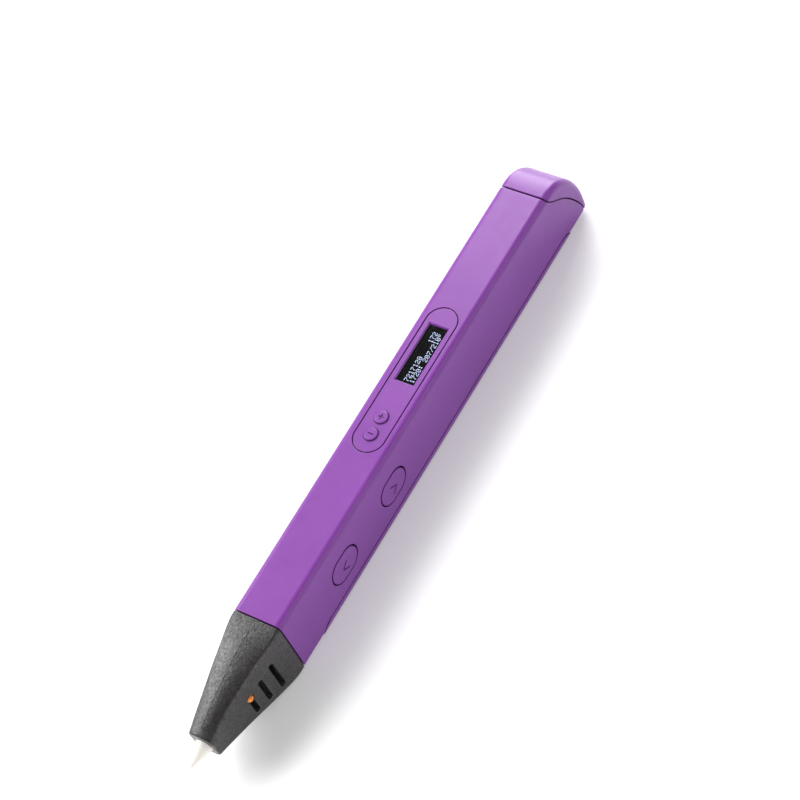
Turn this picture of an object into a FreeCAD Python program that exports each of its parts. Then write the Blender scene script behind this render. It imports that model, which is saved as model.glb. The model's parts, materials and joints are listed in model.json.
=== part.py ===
"""A hand-held 3-D printing pen, lying on its back.

+X runs from the nozzle tip to the tail, +Z points out of the face that carries
the display, and the two oval feed buttons are on the -Y side. The origin is
under the middle of the pen, on the plane that its back rests on. Millimetres.
"""
import FreeCAD, Part
import math
import os

V = FreeCAD.Vector
X_DIR = V(1, 0, 0)
Y_DIR = V(0, 1, 0)
Z_DIR = V(0, 0, 1)

# Whole pen
HALF_LENGTH = 90.0
HALF_WIDTH = 7.0
FACE_Z = 21.2            # the display face
SHELL_BACK_Z = 0.5       # the shell stops short of the back cover's face
EDGE_R = 1.75
WALL = 1.4
FACE_WALL = 1.8
CEILING_Z = FACE_Z - FACE_WALL      # inside of the front wall
FIT_GAP = 0.08           # between moulded pieces that plug together
MERGE = 0.3              # ribs and posts run this far into the wall they grow from
SPAN = 20.0              # cutting shapes reach this far out, past every face
CAP_GAP = 0.14           # the cap and the shell each stay this far from the seam
COVER_GAP = 0.34         # shadow gap above the back cover
RIM_R = 0.22             # rounding of the body's rim at the nose
CAP_RIM_R = 0.3
COVER_RIM_R = 0.15
OPENING_RIM_R = 0.15
NOSE_SEAM_X = -53.7
AXIS_Z = 10.3            # the straight path of the filament, at y = 0

# Tail curve: a quarter ellipse from the face, then a small bottom corner
TAIL_START_X = 78.0
TAIL_LOW_Z = 5.0
TAIL_CORNER_R = 2.2
CAP_FACE_X = 76.3
CAP_SEAM = [
    (CAP_FACE_X, 21.3),
    (76.9, 19.5),
    (79.4, 16.8),
    (82.9, 13.3),
    (86.0, 8.2),
    (87.9, 3.2),
    (88.2, -0.1),
]

# Back cover
COVER_SEAM_Z = 2.65
COVER_X0 = -44.7
COVER_X1 = 81.0
COVER_RAMP = 4.4         # length of the curve where the seam runs out to the back
COVER_FLOOR = 1.3
COVER_SIDE_GAP = 0.02    # the cover is this much narrower than the shell on each side
TRAY_X0 = -41.7
TRAY_X1 = 74.5
TRAY_HALF_W = 5.3
LIP_X0 = -35.5
LIP_X1 = 72.0
LIP_Y0 = 4.7
LIP_Y1 = 5.45
LIP_TOP_Z = 4.2

# Nose: x, half width, back z, front z at the middle, bulge of the front, corner radius
NOSE_WALL = 1.1
NOSE_STATIONS = [
    (-54.02, 6.86, 0.62, 21.05, 0.25, 1.1),
    (-56.6, 6.78, 0.66, 20.95, 0.5, 0.85),
    (-61.0, 6.0, 1.1, 20.65, 0.8, 0.6),
    (-66.0, 5.3, 2.25, 20.0, 1.0, 0.6),
    (-71.5, 4.6, 3.6, 18.85, 1.1, 0.8),
    (-77.0, 4.1, 4.95, 17.35, 1.2, 1.2),
    (-81.5, 3.85, 6.1, 15.7, 1.2, 1.6),
    (-83.9, 3.75, 6.65, 14.75, 1.2, 1.8),
]
NOSE_END_R = 0.7         # rounding round the open end
NOSE_END_WALL = 2.1
MOUTH_GAP = 0.12         # between the nozzle and its seat in the nose
RIDGE_GROOVE_W = 0.14    # hairline groove along the middle of the nose's front
RIDGE_GROOVE_DEPTH = 0.08
COLLAR_L = 4.0           # the collar reaches this far into the body
COLLAR_ROOT = 1.0
COLLAR_WALL = 0.9
SLOT_W = 1.5
SLOTS = [(-69.6, 5.3, 12.6), (-65.3, 4.4, 13.5), (-60.9, 3.6, 14.4)]
BEAD_X = -69.5
BEAD_Y = -4.35
BEAD_Z = 11.6
BEAD_R = 1.05
BEAD_GAP = 0.08
LEAD_R = 0.4
LEAD_END = V(-67.5, -2.6, 12.6)

# Hot end
NOZZLE_R = 2.8
NOZZLE_TIP_R = 0.6
NOZZLE_CONE_X = -82.2     # the cone is this long from the tip
NOZZLE_BACK_X = -76.0
NOZZLE_OUTLET_R = 0.3
NOZZLE_BORE_X = -86.0
NOZZLE_BORE_R = 1.0
FILAMENT_BORE_R = 1.05
BARREL_R = 1.9
BARREL_BACK_X = -60.0
WRAP_R = 2.6
WRAP_L = 4.6
HEAT_BREAK_R = 1.5
HEAT_BREAK_L = 8.0
MOUNT_X0 = -57.2         # insulating plate in the collar
MOUNT_X1 = -54.2
MOUNT_HALF_W = 4.4
MOUNT_Z0 = 3.2
MOUNT_Z1 = 17.6
VENT_R = 0.8
VENT_ZS = (5.2, 15.6)
HEATER_WIRE_R = 0.38
HEATER_WIRE_YS = (3.2, 4.1)
HEATER_WIRE_ZS = (14.1, 14.95)

# Display panel and its buttons
PANEL_X0 = -4.8
PANEL_X1 = 38.9
PANEL_HALF_W = 4.25
PANEL_DEPTH = 1.0
WINDOW_X0 = 15.9
WINDOW_X1 = 33.8
WINDOW_HALF_W = 3.0
WINDOW_FRAME = 0.35      # width of the slope round the window
WINDOW_SINK = 0.4        # depth of the slope
LENS_MARGIN = 0.7        # the lens is this much wider than the window on every side
LENS_T = 0.34
LENS_TOP_Z = FACE_Z - WINDOW_SINK - 0.12
WINDOW_HOLE_MARGIN = 0.8
LIT_MARGIN = 0.5         # the raised part of the display glass is this much wider than the window
PANEL_GAP = 0.2
PANEL_RIM_R = 0.15
ROUND_BUTTON_X = {"temp_down": 0.2, "temp_up": 5.3}
ROUND_BUTTON_R = 1.85
ROUND_BUTTON_TOP = 21.6
ROUND_BUTTON_GAP = 0.12
ROUND_RIM_R = 0.35
ROUND_FLANGE_Z = 19.45
ROUND_FLANGE_T = 0.55
ROUND_FLANGE_R = 2.3
ROUND_HOLE_R = 2.45
SIGN_HALF_L = 0.8
SIGN_HALF_W = 0.16
SIGN_DEPTH = 0.25
BOARD_Z0 = 14.5
BOARD_T = 0.8
BOARD_TOP_Z = BOARD_Z0 + BOARD_T
BOARD_X0 = -19.0
BOARD_X1 = 60.0
BOARD_HALF_W = 5.1
BOARD_CHIPS = [          # x0, x1, y0, y1, height
    (24.0, 31.0, -3.5, 3.5, 1.2),
    (4.0, 9.0, -2.0, 2.0, 1.3),
    (42.0, 48.0, -3.0, 3.0, 1.6),
    (-9.0, -5.5, 1.7, 4.5, 1.4),
    (14.0, 17.0, -1.3, 1.3, 1.5),
]
FRONT_SWITCH_TOP = 17.6
OLED_X0 = 12.5
OLED_X1 = 38.5
OLED_HALF_W = 4.2
OLED_Z0 = 18.1
OLED_BASE_Z = 19.3
CARRIER_X1 = 40.0
CARRIER_HALF_W = 4.6
FLEX_X = 41.6
FLEX_Z = 18.4
FLEX_T = 0.15
FLEX_HALF_W = 3.0
POST_XS = (-15.0, 56.0)
POST_YS = (-4.0, 4.0)
POST_R = 1.3
SCREW_R = 0.54
SCREW_L = 3.6
SCREW_HEAD_R = 1.0
SCREW_HEAD_H = 0.8

# Oval feed buttons
OVAL_X = {"feed": -29.55, "retract": -6.2}
OVAL_L = 11.1
OVAL_H = 8.2
OVAL_Z = 10.6
OVAL_GAP = 0.38
OVAL_CAP_DROP = 0.18      # the caps sit this much low in their openings
OVAL_RECESS = 0.03
OVAL_RIM_R = 0.2
OVAL_FLANGE_Y = -5.58    # the flange rests just inside the side wall
OVAL_BACK_Y = -5.0
OVAL_FLANGE_L = 12.7
OVAL_FLANGE_H = 7.4      # lower than the opening, to pass under the board
ARROW_Z = 9.8
ARROW_ARM = 2.6
ARROW_ANGLE = 36.0
ARROW_HALF_W = 0.17
ARROW_DEPTH = 0.25
ARROW_POINTS = {"feed": -1, "retract": 1}
SIDE_BOARD_Y = -2.6
SIDE_BOARD_T = 0.6
SIDE_BOARD_X0 = -34.5
SIDE_BOARD_X1 = -1.0
SIDE_BOARD_Z0 = 8.0
SIDE_BOARD_Z1 = 13.5
SIDE_SWITCH_FACE_Y = -4.35
SWITCH_SIZE = 4.5

# Speed slider on the +Y side
SLIDER_X = -18.0
SLIDER_Z = 10.6
SLIDER_TRAVEL = 4.0
SLIDER_END_GAP = 0.3     # slot left past the knob at either end of its travel
SLIDER_SLOT_H = 3.0
SLIDER_KNOB_L = 4.0
SLIDER_KNOB_H = 2.6
DUST_PLATE_HALF_L = 10.2
DUST_PLATE_HALF_H = 2.4
DUST_PLATE_Y0 = 5.0
DUST_PLATE_Y1 = 5.45
WIPER_Y = 3.4
POT_HALF_L = 8.0
POT_Y0 = 1.9
POT_Y1 = 4.7

# Feed unit
CHASSIS_X0 = -49.5
CHASSIS_X1 = -36.2
CHASSIS_FLOOR_Z = 3.25
CHASSIS_DECK_Z = 12.3
CHASSIS_PLATE = 0.6
CHASSIS_HALF_W = 5.2
CHASSIS_ARM_Y = 4.7      # inner face of the post behind the idler
CLIP_X0 = -38.0          # rib of the shell that holds the chassis down
CLIP_X1 = -36.6
CLIP_Y0 = -5.7
CLIP_Y1 = -4.4
LINER_R = 1.45
GUIDE_R = 1.3
FEED_X = -45.0
FEED_SHAFT_Y = -2.85
FEED_ROLLER_R = 2.0
IDLER_Y = 2.9
ARM_PIVOT_X = -38.2
ARM_PIVOT_Y = 3.7
SHAFT_R = 0.6
BUSH_R = 1.2
BUSH_FLANGE_T = 0.4
ROLLER_H = 2.0
KNURL_TEETH = 24
FORK_HALF_H = 1.9
FORK_PLATE = 0.7
RUN_GAP = 0.05           # radial running clearance
MOTOR_Y = 0.85
MOTOR_Z = 5.0
MOTOR_R = 3.5
GEARBOX_X0 = -37.2
MOTOR_X0 = -28.2         # where the reducer ends and the motor starts
MOTOR_X1 = -14.2
MOTOR_TAG_X = -12.9
MOTOR_TAG_Y = 2.6
WORM_PITCH_R = 1.4
WHEEL_TEETH = 16
WHEEL_PITCH_R = 2.3

# Tail fittings
JACK_Z = 5.5
JACK_HOLE_R = 1.95
JACK_X0 = 76.4
JACK_X1 = 86.5
JACK_HALF_W = 2.7
JACK_Z0 = 2.9
JACK_Z1 = 8.2
JACK_POCKET_GAP = 0.2
JACK_BOTTOM_X = 78.4     # bottom of the socket's bore
JACK_PIN_R = 0.5
JACK_PIN_X1 = 85.0
INLET_R = 1.3
EYELET_R = 1.74
EYELET_X0 = 82.0
EYELET_X1 = 88.9
EYELET_FLARE = 0.7
TAIL_BLOCK_X0 = 83.5     # block in the cap that holds the socket and the eyelet
TAIL_BLOCK_X1 = 89.4
TAIL_BLOCK_HALF_W = 4.4
TAIL_BLOCK_Z0 = 3.0
TAIL_BLOCK_Z1 = 13.6
TONGUE_X0 = 73.5         # tongue of the cap under the shell's front wall
TONGUE_X1 = 78.5
TONGUE_ROOT_X = 77.2
TONGUE_HALF_W = 4.6
TONGUE_T = 1.0
TONGUE_GAP = 0.1


def box(x0, x1, y0, y1, z0, z1):
    return Part.makeBox(x1 - x0, y1 - y0, z1 - z0, V(x0, y0, z0))


def rod(start, axis, radius, length):
    return Part.makeCylinder(radius, length, start, axis)


def tube(start, axis, outer, inner, length):
    return rod(start, axis, outer, length).cut(rod(start, axis, inner, length))


def polygon_face(points):
    return Part.Face(Part.makePolygon(points + [points[0]]))


def stadium_z(x0, x1, half_w, z0, z1):
    """Stadium along X with its round ends at x0 and x1, extruded along Z."""
    body = box(x0 + half_w, x1 - half_w, -half_w, half_w, z0, z1)
    for x in (x0 + half_w, x1 - half_w):
        body = body.fuse(rod(V(x, 0, z0), Z_DIR, half_w, z1 - z0))
    return body.removeSplitter()


def stadium_y(x, z, length, height, y0, y1):
    """Stadium along X, centred on x and z, extruded along Y."""
    half = height / 2
    reach = length / 2 - half
    body = box(x - reach, x + reach, y0, y1, z - half, z + half)
    for end in (x - reach, x + reach):
        body = body.fuse(rod(V(end, y0, z), Y_DIR, half, y1 - y0))
    return body.removeSplitter()


def side_slot(x, z0, z1, width, y0, y1):
    """Slot along Z with round ends, cut through along Y."""
    half = width / 2
    body = box(x - half, x + half, y0, y1, z0 + half, z1 - half)
    for z in (z0 + half, z1 - half):
        body = body.fuse(rod(V(x, y0, z), Y_DIR, half, y1 - y0))
    return body.removeSplitter()


def crowned_section(x, half_w, z0, z1, crown, r):
    """Closed wire in the plane of one x: a round-cornered box whose front side bulges outwards."""
    front_r = (crown ** 2 + half_w ** 2) / (2 * crown)
    front_centre = z1 - front_r
    corner_z = front_centre + math.sqrt((front_r - r) ** 2 - (half_w - r) ** 2)
    lean = math.atan2(half_w - r, corner_z - front_centre)

    def front_corner(side, turn):
        return V(x, side * (half_w - r + r * math.sin(turn)), corner_z + r * math.cos(turn))

    def back_corner(side, turn):
        return V(x, side * (half_w - r + r * math.sin(turn)), z0 + r - r * math.cos(turn))

    right = math.pi / 2
    middle = (lean + right) / 2
    edges = [Part.Arc(front_corner(1, lean), V(x, 0, z1), front_corner(-1, lean)).toShape()]
    left_corner = Part.Arc(front_corner(-1, lean), front_corner(-1, middle), front_corner(-1, right))
    edges.append(left_corner.toShape())
    edges.append(Part.LineSegment(front_corner(-1, right), back_corner(-1, right)).toShape())
    edges.append(Part.Arc(back_corner(-1, right), back_corner(-1, right / 2), back_corner(-1, 0)).toShape())
    edges.append(Part.LineSegment(back_corner(-1, 0), back_corner(1, 0)).toShape())
    edges.append(Part.Arc(back_corner(1, 0), back_corner(1, right / 2), back_corner(1, right)).toShape())
    edges.append(Part.LineSegment(back_corner(1, right), front_corner(1, right)).toShape())
    edges.append(Part.Arc(front_corner(1, right), front_corner(1, middle), front_corner(1, lean)).toShape())
    return Part.Wire(edges)


def side_outline(inset, x_start):
    """The pen's outline in the XZ plane at y = 0, moved inwards by inset."""
    top = FACE_Z - inset
    back = SHELL_BACK_Z + inset
    end_x = HALF_LENGTH - inset
    corner = TAIL_CORNER_R - inset
    low = back + corner
    centre = V(TAIL_START_X, 0, TAIL_LOW_Z)
    # the major axis of the quarter ellipse stands along Z
    ellipse = Part.Ellipse(V(TAIL_START_X, 0, top), V(end_x, 0, TAIL_LOW_Z), centre)
    curve = Part.ArcOfEllipse(ellipse, 0, math.pi / 2)
    a = math.radians(45)
    mid = V(end_x - corner + corner * math.cos(a), 0, low - corner * math.sin(a))
    edges = [
        Part.LineSegment(V(x_start, 0, back), V(x_start, 0, top)).toShape(),
        Part.LineSegment(V(x_start, 0, top), V(TAIL_START_X, 0, top)).toShape(),
        curve.toShape(),
        Part.LineSegment(V(end_x, 0, TAIL_LOW_Z), V(end_x, 0, low)).toShape(),
        Part.Arc(V(end_x, 0, low), mid, V(end_x - corner, 0, back)).toShape(),
        Part.LineSegment(V(end_x - corner, 0, back), V(x_start, 0, back)).toShape(),
    ]
    return Part.Wire(edges)


def envelope():
    """The purple body's outer form, with its long edges and tail edges rounded."""
    lead = NOSE_SEAM_X - 6
    face = Part.Face(side_outline(0, lead))
    face.translate(V(0, -HALF_WIDTH, 0))
    solid = face.extrude(V(0, 2 * HALF_WIDTH, 0))
    rim = []
    for edge in solid.Edges:
        ys = [p.y for p in edge.discretize(3)]
        xs = [p.x for p in edge.discretize(3)]
        if max(ys) - min(ys) < 0.01 and max(xs) > lead + 0.1:
            rim.append(edge)
    solid = solid.makeFillet(EDGE_R, rim)
    solid = solid.cut(box(lead - 1, NOSE_SEAM_X, -SPAN, SPAN, -SPAN, 2 * SPAN))
    mouth = [e for e in solid.Edges if e.BoundBox.XMax < NOSE_SEAM_X + 0.01]
    return solid.makeFillet(RIM_R, mouth)


def cavity():
    """The hollow inside the covers, with square corners."""
    face = Part.Face(side_outline(WALL, NOSE_SEAM_X - 1))
    half = HALF_WIDTH - WALL
    face.translate(V(0, -half, 0))
    solid = face.extrude(V(0, 2 * half, 0))
    return solid.cut(box(-HALF_LENGTH, HALF_LENGTH, -SPAN, SPAN, CEILING_Z, 2 * SPAN))


def cap_region(shift):
    """Everything on the tail side of the cap's curved seam."""
    points = [V(x + shift, -SPAN, z) for x, z in CAP_SEAM]
    seam = Part.BSplineCurve()
    seam.interpolate(points)
    far = HALF_LENGTH + SPAN
    top = V(points[0].x, -SPAN, 2 * SPAN)
    low = V(points[-1].x, -SPAN, -SPAN)
    edges = [
        seam.toShape(),
        Part.LineSegment(points[-1], low).toShape(),
        Part.LineSegment(low, V(far, -SPAN, -SPAN)).toShape(),
        Part.LineSegment(V(far, -SPAN, -SPAN), V(far, -SPAN, 2 * SPAN)).toShape(),
        Part.LineSegment(V(far, -SPAN, 2 * SPAN), top).toShape(),
        Part.LineSegment(top, points[0]).toShape(),
    ]
    face = Part.Face(Part.Wire(edges))
    return face.extrude(V(0, 2 * SPAN, 0))


def cover_region(grow):
    """The space of the back cover: a shallow tray that runs out to the back at both ends."""
    z_top = COVER_SEAM_Z + grow
    x0 = COVER_X0 - grow
    x1 = COVER_X1 + grow
    low = -1.0

    def ramp(x_end, side):
        start = V(x_end - side * COVER_RAMP, -SPAN, z_top)
        bend = V(x_end - side * COVER_RAMP * 0.4, -SPAN, z_top)
        poles = [start, bend, V(x_end, -SPAN, SHELL_BACK_Z)]
        curve = Part.BezierCurve()
        curve.setPoles(poles if side > 0 else poles[::-1])
        return curve

    front = ramp(x0, -1)
    rear = ramp(x1, 1)
    edges = [
        front.toShape(),
        Part.LineSegment(front.EndPoint, rear.StartPoint).toShape(),
        rear.toShape(),
        Part.LineSegment(rear.EndPoint, V(x1, -SPAN, low)).toShape(),
        Part.LineSegment(V(x1, -SPAN, low), V(x0, -SPAN, low)).toShape(),
        Part.LineSegment(V(x0, -SPAN, low), front.StartPoint).toShape(),
    ]
    face = Part.Face(Part.Wire(edges))
    return face.extrude(V(0, 2 * SPAN, 0))


def round_rim(solid, region, radius):
    """Rounds the edges that the surface of region has cut into the solid."""
    surface = region.Shells[0]
    rim = []
    for edge in solid.Edges:
        points = edge.discretize(3)
        if all(surface.distToShape(Part.Vertex(p))[0] < 0.01 for p in points):
            rim.append(edge)
    return solid.makeFillet(radius, rim)


def inner_openings():
    """Holes through the front wall for the window and the round buttons, and the slider's slot."""
    low = CEILING_Z - 1
    cuts = [window_box(WINDOW_HOLE_MARGIN, low, FACE_Z)]
    for x in ROUND_BUTTON_X.values():
        cuts.append(rod(V(x, 0, low), Z_DIR, ROUND_HOLE_R, FACE_Z - low))
    reach = SLIDER_TRAVEL + SLIDER_KNOB_L / 2 + SLIDER_END_GAP
    inside = HALF_WIDTH - 2 * WALL
    z0 = SLIDER_Z - SLIDER_SLOT_H / 2
    cuts.append(box(SLIDER_X - reach, SLIDER_X + reach, inside, SPAN, z0, z0 + SLIDER_SLOT_H))
    return cuts


def cut_outer_openings(solid):
    """Cuts the panel's recess and the oval buttons' openings, with rounded rims."""
    x0 = PANEL_X0 - PANEL_GAP
    x1 = PANEL_X1 + PANEL_GAP
    solid = solid.cut(stadium_z(x0, x1, PANEL_HALF_W + PANEL_GAP, FACE_Z - PANEL_DEPTH, FACE_Z + 1))
    for x in OVAL_X.values():
        solid = solid.cut(stadium_y(x, OVAL_Z, OVAL_L, OVAL_H, -SPAN, 2 * WALL - HALF_WIDTH))
    rim = []
    for edge in solid.Edges:
        b = edge.BoundBox
        on_face = b.ZMin > FACE_Z - 0.01 and max(-b.YMin, b.YMax) < PANEL_HALF_W + 0.4
        on_side = b.YMax < 0.01 - HALF_WIDTH and b.ZMin > OVAL_Z - OVAL_H and b.ZMax < OVAL_Z + OVAL_H
        at_buttons = b.XMin > OVAL_X["feed"] - OVAL_L and b.XMax < OVAL_X["retract"] + OVAL_L
        if on_face and b.XMin > PANEL_X0 - 1 and b.XMax < PANEL_X1 + 1 or on_side and at_buttons:
            rim.append(edge)
    return solid.makeFillet(OPENING_RIM_R, rim)


def board_posts():
    """Posts from the front wall that carry the main board."""
    posts = []
    height = CEILING_Z - BOARD_TOP_Z + MERGE
    for x in POST_XS:
        for y in POST_YS:
            post = rod(V(x, y, BOARD_TOP_Z), Z_DIR, POST_R, height)
            posts.append(post.cut(rod(V(x, y, BOARD_Z0), Z_DIR, SCREW_R + 0.01, SCREW_L + 0.4)))
    return posts


def front_shell(body, hollow):
    for_cap = cap_region(-CAP_GAP)
    for_cover = cover_region(COVER_GAP)
    shell = round_rim(body.cut(for_cap), for_cap, CAP_RIM_R)
    shell = round_rim(shell.cut(for_cover), for_cover, COVER_RIM_R)
    shell = cut_outer_openings(shell).cut(hollow)
    for cut in inner_openings():
        shell = shell.cut(cut)
    for post in board_posts():
        shell = shell.fuse(post)
    clip_z = CHASSIS_DECK_Z + CHASSIS_PLATE + 0.05
    shell = shell.fuse(box(CLIP_X0, CLIP_X1, CLIP_Y0, CLIP_Y1, clip_z, CEILING_Z + MERGE))
    return shell.removeSplitter()


def back_cover():
    """Shallow tray with a lip that reaches up inside the shell."""
    half = HALF_WIDTH - COVER_SIDE_GAP
    slab = box(COVER_X0 - 5, COVER_X1 + 5, -half, half, 0, FACE_Z)
    rim = [e for e in slab.Edges if abs(e.BoundBox.ZMax) < 0.01 and e.BoundBox.XLength > 1]
    slab = slab.makeFillet(EDGE_R, rim)
    cover = round_rim(slab.common(cover_region(0)), cover_region(0), COVER_RIM_R)
    cover = cover.cut(box(TRAY_X0, TRAY_X1, -TRAY_HALF_W, TRAY_HALF_W, COVER_FLOOR, SPAN))
    for side in (-1, 1):
        y0, y1 = sorted((side * LIP_Y0, side * LIP_Y1))
        cover = cover.fuse(box(LIP_X0, LIP_X1, y0, y1, COVER_FLOOR - MERGE, LIP_TOP_Z))
    return cover.removeSplitter()


def end_cap(body, hollow):
    """Tail cap with the filament inlet, the jack hole and an inner tongue."""
    region = cap_region(CAP_GAP)
    cap = round_rim(body.common(region), region, CAP_RIM_R).cut(hollow)
    half = TAIL_BLOCK_HALF_W
    block = box(TAIL_BLOCK_X0, TAIL_BLOCK_X1, -half, half, TAIL_BLOCK_Z0, TAIL_BLOCK_Z1)
    cap = cap.fuse(block.common(cap_region(CAP_GAP + 0.5)).common(body))
    half = TONGUE_HALF_W
    top = CEILING_Z - TONGUE_GAP
    cap = cap.fuse(box(TONGUE_X0, TONGUE_X1, -half, half, top - TONGUE_T, top))
    cap = cap.fuse(box(TONGUE_ROOT_X, TONGUE_X1, -half, half, top - TONGUE_GAP, CEILING_Z + MERGE))
    cap = cap.cut(rod(V(JACK_X0, 0, AXIS_Z), X_DIR, EYELET_R + 0.01, SPAN))
    cap = cap.cut(rod(V(JACK_X0, 0, JACK_Z), X_DIR, JACK_HOLE_R, SPAN))
    half = JACK_HALF_W + JACK_POCKET_GAP
    pocket = box(JACK_X0, JACK_X1 + 0.1, -half, half, SHELL_BACK_Z + WALL, JACK_Z1 + 0.1)
    return cap.cut(pocket).removeSplitter()


def inlet_grommet():
    """Guide eyelet that the filament goes into at the tail."""
    eyelet = tube(V(EYELET_X0, 0, AXIS_Z), X_DIR, EYELET_R, INLET_R, EYELET_X1 - EYELET_X0)
    start = V(EYELET_X1 - EYELET_FLARE, 0, AXIS_Z)
    return eyelet.cut(Part.makeCone(INLET_R, INLET_R + 0.3, EYELET_FLARE, start, X_DIR))


def nose_loft(shrink):
    """The nose's tapered form, made smaller by shrink on every side."""
    wires = []
    for x, half_w, z0, z1, crown, r in NOSE_STATIONS:
        corner = max(r - shrink, 0.3)
        wires.append(crowned_section(x, half_w - shrink, z0 + shrink, z1 - shrink, crown, corner))
    return Part.makeLoft(wires, True, False)


def nose_cover():
    """Tapered black nose with a collar that plugs into the body."""
    outer = nose_loft(0)
    end_x = NOSE_STATIONS[-1][0]
    groove = outer.cut(outer.translated(V(0, 0, -RIDGE_GROOVE_DEPTH)))
    half = RIDGE_GROOVE_W / 2
    groove = groove.common(box(end_x + 2.0, NOSE_STATIONS[1][0], -half, half, AXIS_Z, 2 * SPAN))
    end_rim = [e for e in outer.Edges if e.BoundBox.XMax < end_x + 0.01]
    outer = outer.makeFillet(NOSE_END_R, end_rim)
    half = HALF_WIDTH - WALL - FIT_GAP
    z0 = SHELL_BACK_Z + WALL + FIT_GAP
    z1 = CEILING_Z - FIT_GAP
    root = NOSE_SEAM_X - COLLAR_ROOT
    collar = box(root, NOSE_SEAM_X + COLLAR_L, -half, half, z0, z1)
    # the cavity stops short of the seam, so that the collar keeps its root, and short of the end
    hollow = nose_loft(NOSE_WALL)
    hollow = hollow.common(box(end_x + NOSE_END_WALL, root - 0.2, -SPAN, SPAN, 0, FACE_Z))
    nose = outer.fuse(collar).cut(hollow).cut(groove)
    half -= COLLAR_WALL
    nose = nose.cut(box(root - 0.5, NOSE_SEAM_X + SPAN, -half, half, z0 + COLLAR_WALL, z1 - COLLAR_WALL))
    nose = nose.cut(nozzle_form(MOUTH_GAP))
    for x, z_low, z_high in SLOTS:
        nose = nose.cut(side_slot(x, z_low, z_high, SLOT_W, -SPAN, SPAN))
    nose = nose.cut(rod(V(BEAD_X, -SPAN, BEAD_Z), Y_DIR, BEAD_R + BEAD_GAP, SPAN))
    return nose.removeSplitter()


def nozzle_form(grow):
    """The nozzle's outer form, a blunt cone and a stem, made larger by grow."""
    tip = V(-HALF_LENGTH, 0, AXIS_Z)
    root = V(NOZZLE_CONE_X, 0, AXIS_Z)
    cone = Part.makeCone(NOZZLE_TIP_R + grow, NOZZLE_R + grow, root.x - tip.x, tip, X_DIR)
    return cone.fuse(rod(root, X_DIR, NOZZLE_R + grow, NOZZLE_BACK_X - NOZZLE_CONE_X))


def nozzle():
    """White ceramic nozzle with a stepped filament bore."""
    body = nozzle_form(0)
    body = body.cut(rod(V(-HALF_LENGTH - 1, 0, AXIS_Z), X_DIR, NOZZLE_OUTLET_R, 8))
    body = body.cut(rod(V(NOZZLE_BORE_X, 0, AXIS_Z), X_DIR, NOZZLE_BORE_R, 12))
    return body.removeSplitter()


def heater_barrel():
    start = V(NOZZLE_BACK_X, 0, AXIS_Z)
    return tube(start, X_DIR, BARREL_R, FILAMENT_BORE_R, BARREL_BACK_X - NOZZLE_BACK_X)


def heater_wrap():
    return tube(V(NOZZLE_BACK_X + 0.2, 0, AXIS_Z), X_DIR, WRAP_R, BARREL_R + 0.02, WRAP_L)


def thermistor():
    """Glass bead in an amber sleeve, with its lead running to the barrel's wrap."""
    bead = Part.makeSphere(BEAD_R, V(BEAD_X, BEAD_Y, BEAD_Z))
    start = V(BEAD_X, BEAD_Y + 0.4, BEAD_Z)
    way = LEAD_END.sub(start)
    return bead.fuse(rod(start, way, LEAD_R, way.Length)).removeSplitter()


def heat_break():
    """Thin steel tube that keeps the heat in the nose."""
    return tube(V(BARREL_BACK_X, 0, AXIS_Z), X_DIR, HEAT_BREAK_R, FILAMENT_BORE_R, HEAT_BREAK_L)


def hot_end_mount():
    """Insulating plate in the collar that holds the heat break."""
    thickness = MOUNT_X1 - MOUNT_X0
    plate = box(MOUNT_X0, MOUNT_X1, -MOUNT_HALF_W, MOUNT_HALF_W, MOUNT_Z0, MOUNT_Z1)
    plate = plate.cut(rod(V(MOUNT_X0, 0, AXIS_Z), X_DIR, HEAT_BREAK_R + 0.03, thickness))
    for z in VENT_ZS:
        plate = plate.cut(rod(V(MOUNT_X0, 0, z), X_DIR, VENT_R, thickness))
    return plate


def ptfe_liner():
    """Liner that leads the filament from the feed rollers to the heat break."""
    return tube(V(-51.9, 0, AXIS_Z), X_DIR, LINER_R, FILAMENT_BORE_R, 4.2)


def feed_chassis():
    """Frame that carries the rollers, the liner, the worm's end, the gear motor and the arm's pin."""
    x0 = CHASSIS_X0
    x1 = CHASSIS_X1
    low = CHASSIS_FLOOR_Z - CHASSIS_PLATE
    high = CHASSIS_DECK_Z + CHASSIS_PLATE
    half = CHASSIS_HALF_W
    floor = box(x0, x1, -half, half, low, CHASSIS_FLOOR_Z)
    deck = box(x0, x1, -half, half, CHASSIS_DECK_Z, high)
    post = box(x0, x0 + 1.1, -half, half, low, high)
    frame = floor.fuse(deck).fuse(post)
    for y0, y1 in ((-half, -3.4), (CHASSIS_ARM_Y, half)):
        frame = frame.fuse(box(x1 - 1.0, x1, y0, y1, low, high))
    frame = frame.cut(rod(V(x0 - 1, 0, AXIS_Z), X_DIR, LINER_R + 0.02, 3))
    frame = frame.cut(rod(V(FEED_X, FEED_SHAFT_Y, 0), Z_DIR, BUSH_R + 0.02, SPAN))
    frame = frame.cut(rod(V(ARM_PIVOT_X, ARM_PIVOT_Y, 0), Z_DIR, SHAFT_R + 0.01, SPAN))
    frame = frame.cut(rod(V(x0 - 1, MOTOR_Y, MOTOR_Z), X_DIR, SHAFT_R + RUN_GAP, 5))
    frame = frame.cut(box(-39, x1 + 1, MOTOR_Y - 3.7, MOTOR_Y + 3.7, 0, MOTOR_Z + 3.8))
    frame = frame.cut(box(FEED_X - 3.2, FEED_X + 3.2, 0.4, 5.6, 12.0, 13.5))
    return frame.removeSplitter()


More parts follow.
